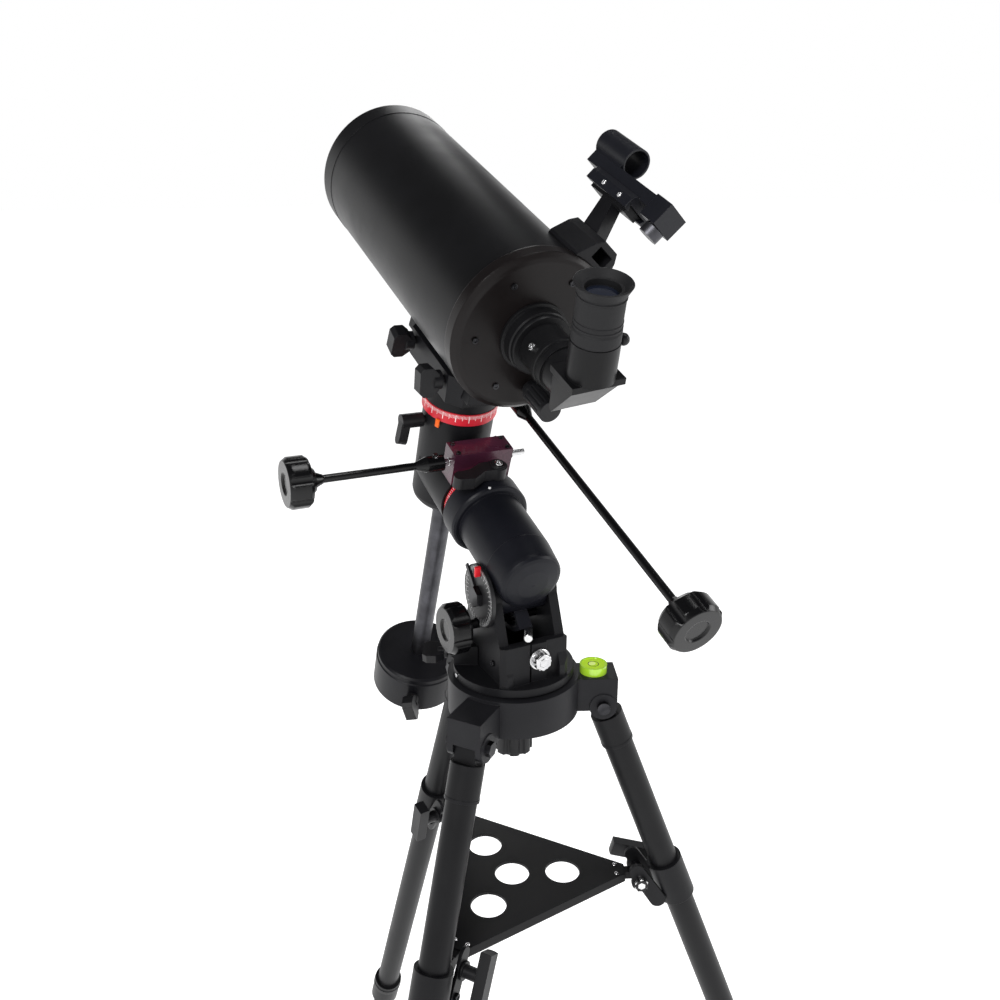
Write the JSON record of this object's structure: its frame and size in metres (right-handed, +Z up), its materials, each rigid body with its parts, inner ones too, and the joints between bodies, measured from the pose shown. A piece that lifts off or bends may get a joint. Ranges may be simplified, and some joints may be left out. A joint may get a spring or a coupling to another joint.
{
  "type": "telescope on an equatorial mount with tripod",
  "caption": "Compact Maksutov telescope with diagonal, eyepiece and red-dot finder on a German equatorial mount with counterweight, slow-motion controls and a folding tube tripod.",
  "frame": {"origin": "on the floor, under the tripod's azimuth axis", "axes": "+Z up along the azimuth axis; +Y horizontal under the polar axis, towards its raised end; +X right, seen from the eyepiece end"},
  "size_m": [0.5871, 0.5439, 1.1476],
  "materials": {
    "black_casting": "satin",
    "black_tube": "satin",
    "violet_black": "satin",
    "anodised_black": "anodised",
    "cast_iron_black": "painted",
    "dark_steel": "oiled",
    "bright_steel": "turned",
    "brass": "machined",
    "red_circle": "satin",
    "gloss_black": "glossy",
    "matte_black": "moulded",
    "bubble_green": "clear",
    "corrector_glass": "coated",
    "mirror_silver": "aluminised"
  },
  "bodies": {
    "tripod_head": {"tripod_hub": "black_casting", "bubble_level": "bubble_green", "hinge_bolts": "dark_steel"},
    "leg_1": {"upper_leg_1": "black_tube", "tray_bracket_1": "black_casting"},
    "lower_leg_1": {"lower_leg_1": "black_tube"},
    "tray_knob_1": {"tray_knob_1": "bright_steel"},
    "leg_2": {"upper_leg_2": "black_tube", "tray_bracket_2": "black_casting"},
    "lower_leg_2": {"lower_leg_2": "black_tube"},
    "tray_knob_2": {"tray_knob_2": "bright_steel"},
    "leg_3": {"upper_leg_3": "black_tube", "tray_bracket_3": "black_casting"},
    "lower_leg_3": {"lower_leg_3": "black_tube"},
    "tray_knob_3": {"tray_knob_3": "bright_steel"},
    "tray": {"tray": "black_casting"},
    "hub_knob": {"hub_knob": "matte_black"},
    "azimuth": {"azimuth_base": "black_casting", "latitude_scale": "anodised_black", "base_bolt": "bright_steel"},
    "azimuth_knob": {"azimuth_knob": "matte_black"},
    "latitude_knob": {"latitude_knob": "gloss_black"},
    "altitude": {"altitude_axle": "dark_steel", "ra_housing": "black_casting", "ra_end_cap": "black_casting", "ra_wheel": "brass"},
    "ra_lever": {"ra_lever": "matte_black"},
    "ra_circle": {"ra_circle": "red_circle"},
    "ra": {"ra_shaft": "bright_steel", "ra_worm_block": "violet_black", "dec_housing": "black_casting", "dec_wheel": "brass", "counterweight_shaft": "dark_steel"},
    "ra_worm": {"ra_worm": "bright_steel", "ra_control": "gloss_black"},
    "dec_lever": {"dec_lever": "matte_black"},
    "dec_circle": {"dec_circle": "red_circle"},
    "counterweight": {"counterweight": "cast_iron_black"},
    "counterweight_knob": {"counterweight_knob": "matte_black"},
    "dec": {"dec_shaft": "bright_steel", "dec_worm_block": "black_casting", "saddle": "black_casting"},
    "dec_worm": {"dec_worm": "bright_steel", "dec_control": "gloss_black"},
    "saddle_knob_1": {"saddle_knob_1": "matte_black"},
    "saddle_knob_2": {"saddle_knob_2": "matte_black"},
    "tube": {"dovetail_bar": "black_casting", "ota_tube": "black_tube", "front_cell": "black_tube", "corrector_lens": "corrector_glass", "rear_cell": "black_tube", "baffle_tube": "black_tube", "visual_back": "anodised_black", "finder_base": "black_casting"},
    "mirror": {"primary_mirror": "mirror_silver"},
    "focus_knob": {"focus_knob": "matte_black"},
    "diagonal": {"diagonal": "anodised_black"},
    "eyepiece": {"eyepiece": "anodised_black"},
    "finder": {"finder_body": "matte_black"},
    "finder_knob": {"finder_knob": "matte_black"}
  },
  "joints": [
    {"name": "leg_1_fold", "type": "hinge", "parent": "tripod_head", "child": "leg_1", "pos_m": [0.07034, -0.03058, 0.65438], "axis": [0.3987, 0.9171, 0], "range_deg": [0, 15]},
    {"name": "leg_1_extend", "type": "slide", "parent": "leg_1", "child": "lower_leg_1", "axis": [0.3257, -0.1416, -0.9348], "range_m": [-0.04, 0.33]},
    {"name": "tray_knob_1_turn", "type": "hinge", "parent": "leg_1", "child": "tray_knob_1", "pos_m": [0.10869, -0.04726, 0.46688], "axis": [0.3987, 0.9171, 0], "range_deg": [0, 450]},
    {"name": "leg_2_fold", "type": "hinge", "parent": "tripod_head", "child": "leg_2", "pos_m": [-0.00868, 0.07621, 0.65438], "axis": [-0.9936, -0.1132, 0], "range_deg": [0, 15]},
    {"name": "leg_2_extend", "type": "slide", "parent": "leg_2", "child": "lower_leg_2", "axis": [-0.0402, 0.3528, -0.9348], "range_m": [-0.04, 0.33]},
    {"name": "tray_knob_2_turn", "type": "hinge", "parent": "leg_2", "child": "tray_knob_2", "pos_m": [-0.01342, 0.11776, 0.46688], "axis": [-0.9936, -0.1132, 0], "range_deg": [0, 450]},
    {"name": "leg_3_fold", "type": "hinge", "parent": "tripod_head", "child": "leg_3", "pos_m": [-0.06166, -0.04562, 0.65438], "axis": [0.5948, -0.8039, 0], "range_deg": [0, 15]},
    {"name": "leg_3_extend", "type": "slide", "parent": "leg_3", "child": "lower_leg_3", "axis": [-0.2855, -0.2112, -0.9348], "range_m": [-0.04, 0.33]},
    {"name": "tray_knob_3_turn", "type": "hinge", "parent": "leg_3", "child": "tray_knob_3", "pos_m": [-0.09528, -0.0705, 0.46688], "axis": [0.5948, -0.8039, 0], "range_deg": [0, 450]},
    {"name": "tray_swing", "type": "hinge", "parent": "leg_1", "child": "tray", "pos_m": [0.10869, -0.04726, 0.46688], "axis": [0.3987, 0.9171, 0], "range_deg": [-98, 0]},
    {"name": "hub_knob_turn", "type": "hinge", "parent": "tripod_head", "child": "hub_knob", "pos_m": [0, 0, 0.65438], "axis": [0, 0, 1], "range_deg": [0, 450]},
    {"name": "azimuth_turn", "type": "hinge", "parent": "tripod_head", "child": "azimuth", "pos_m": [0, 0, 0.68578], "axis": [0, 0, 1], "continuous": true},
    {"name": "azimuth_knob_turn", "type": "hinge", "parent": "azimuth", "child": "azimuth_knob", "pos_m": [-0.04547, 0.02418, 0.69978], "axis": [-0.8829, 0.4695, 0], "range_deg": [0, 450]},
    {"name": "latitude_knob_turn", "type": "hinge", "parent": "azimuth", "child": "latitude_knob", "pos_m": [0, 0.003, 0.73378], "axis": [-1, 0, 0], "range_deg": [0, 450]},
    {"name": "altitude_tilt", "type": "hinge", "parent": "azimuth", "child": "altitude", "pos_m": [0, 0, 0.75978], "axis": [1, 0, 0], "range_deg": [-6, 29]},
    {"name": "ra_lever_turn", "type": "hinge", "parent": "altitude", "child": "ra_lever", "pos_m": [0.006, 0.05873, 0.81188], "axis": [0, -0.3584, 0.9336], "range_deg": [0, 50]},
    {"name": "ra_circle_turn", "type": "hinge", "parent": "altitude", "child": "ra_circle", "pos_m": [0, 0.0689, 0.81579], "axis": [0, 0.9336, 0.3584], "continuous": true},
    {"name": "ra_turn", "type": "hinge", "parent": "altitude", "child": "ra", "pos_m": [0, 0.08253, 0.82102], "axis": [0, 0.9336, 0.3584], "range_deg": [-95, 95]},
    {"name": "ra_worm_turn", "type": "hinge", "parent": "ra", "child": "ra_worm", "pos_m": [0, 0.06941, 0.85562], "axis": [1, 0, 0], "continuous": true},
    {"name": "dec_lever_turn", "type": "hinge", "parent": "ra", "child": "dec_lever", "pos_m": [-0.019, 0.11091, 0.8844], "axis": [-1, 0, 0], "range_deg": [0, 50]},
    {"name": "dec_circle_turn", "type": "hinge", "parent": "ra", "child": "dec_circle", "pos_m": [0, 0.10517, 0.89934], "axis": [0, -0.3584, 0.9336], "continuous": true},
    {"name": "counterweight_slide", "type": "slide", "parent": "ra", "child": "counterweight", "axis": [0, 0.3584, -0.9336], "range_m": [-0.19, 0.023]},
    {"name": "counterweight_knob_turn", "type": "hinge", "parent": "counterweight", "child": "counterweight_knob", "pos_m": [0, 0.22809, 0.57912], "axis": [-0.4695, -0.8243, -0.3164], "range_deg": [0, 450]},
    {"name": "dec_turn", "type": "hinge", "parent": "ra", "child": "dec", "pos_m": [0, 0.09996, 0.91292], "axis": [0, -0.3584, 0.9336], "continuous": true},
    {"name": "dec_worm_turn", "type": "hinge", "parent": "dec", "child": "dec_worm", "pos_m": [0.037, 0.09996, 0.91292], "axis": [0, 0.9336, 0.3584], "continuous": true},
    {"name": "saddle_knob_1_turn", "type": "hinge", "parent": "dec", "child": "saddle_knob_1", "pos_m": [-0.03, 0.06739, 0.928], "axis": [-1, 0, 0], "range_deg": [0, 450]},
    {"name": "saddle_knob_2_turn", "type": "hinge", "parent": "dec", "child": "saddle_knob_2", "pos_m": [-0.03, 0.12807, 0.9513], "axis": [-1, 0, 0], "range_deg": [0, 450]},
    {"name": "tube_slide", "type": "slide", "parent": "dec", "child": "tube", "axis": [0, 0.9336, 0.3584], "range_m": [-0.03, 0.03]},
    {"name": "mirror_focus", "type": "slide", "parent": "tube", "child": "mirror", "axis": [0, 0.9336, 0.3584], "range_m": [0, 0.01]},
    {"name": "focus_turn", "type": "hinge", "parent": "tube", "child": "focus_knob", "pos_m": [0.005, -0.00907, 0.9355], "axis": [0, 0.9336, 0.3584], "continuous": true},
    {"name": "diagonal_turn", "type": "hinge", "parent": "tube", "child": "diagonal", "pos_m": [0, -0.06779, 0.96009], "axis": [0, 0.9336, 0.3584], "continuous": true},
    {"name": "eyepiece_slide", "type": "slide", "parent": "diagonal", "child": "eyepiece", "axis": [-0.1097, -0.3562, 0.9279], "range_m": [0, 0.015]},
    {"name": "finder_slide", "type": "slide", "parent": "tube", "child": "finder", "axis": [0, 0.9336, 0.3584], "range_m": [-0.01, 0.01]},
    {"name": "finder_knob_turn", "type": "hinge", "parent": "finder", "child": "finder_knob", "pos_m": [0.04146, -0.05842, 1.01661], "axis": [0.6428, -0.2745, 0.7152], "range_deg": [0, 450]}
  ],
  "couplings": [
    {"joint": "leg_2_fold", "follows": "leg_1_fold", "ratio": 1},
    {"joint": "leg_3_fold", "follows": "leg_1_fold", "ratio": 1},
    {"joint": "tray_swing", "follows": "leg_1_fold", "ratio": -6.5},
    {"joint": "ra_worm_turn", "follows": "ra_turn", "ratio": 96},
    {"joint": "dec_worm_turn", "follows": "dec_turn", "ratio": 96},
    {"joint": "focus_turn", "follows": "mirror_focus", "rad_per_m": 8377.6}
  ]
}
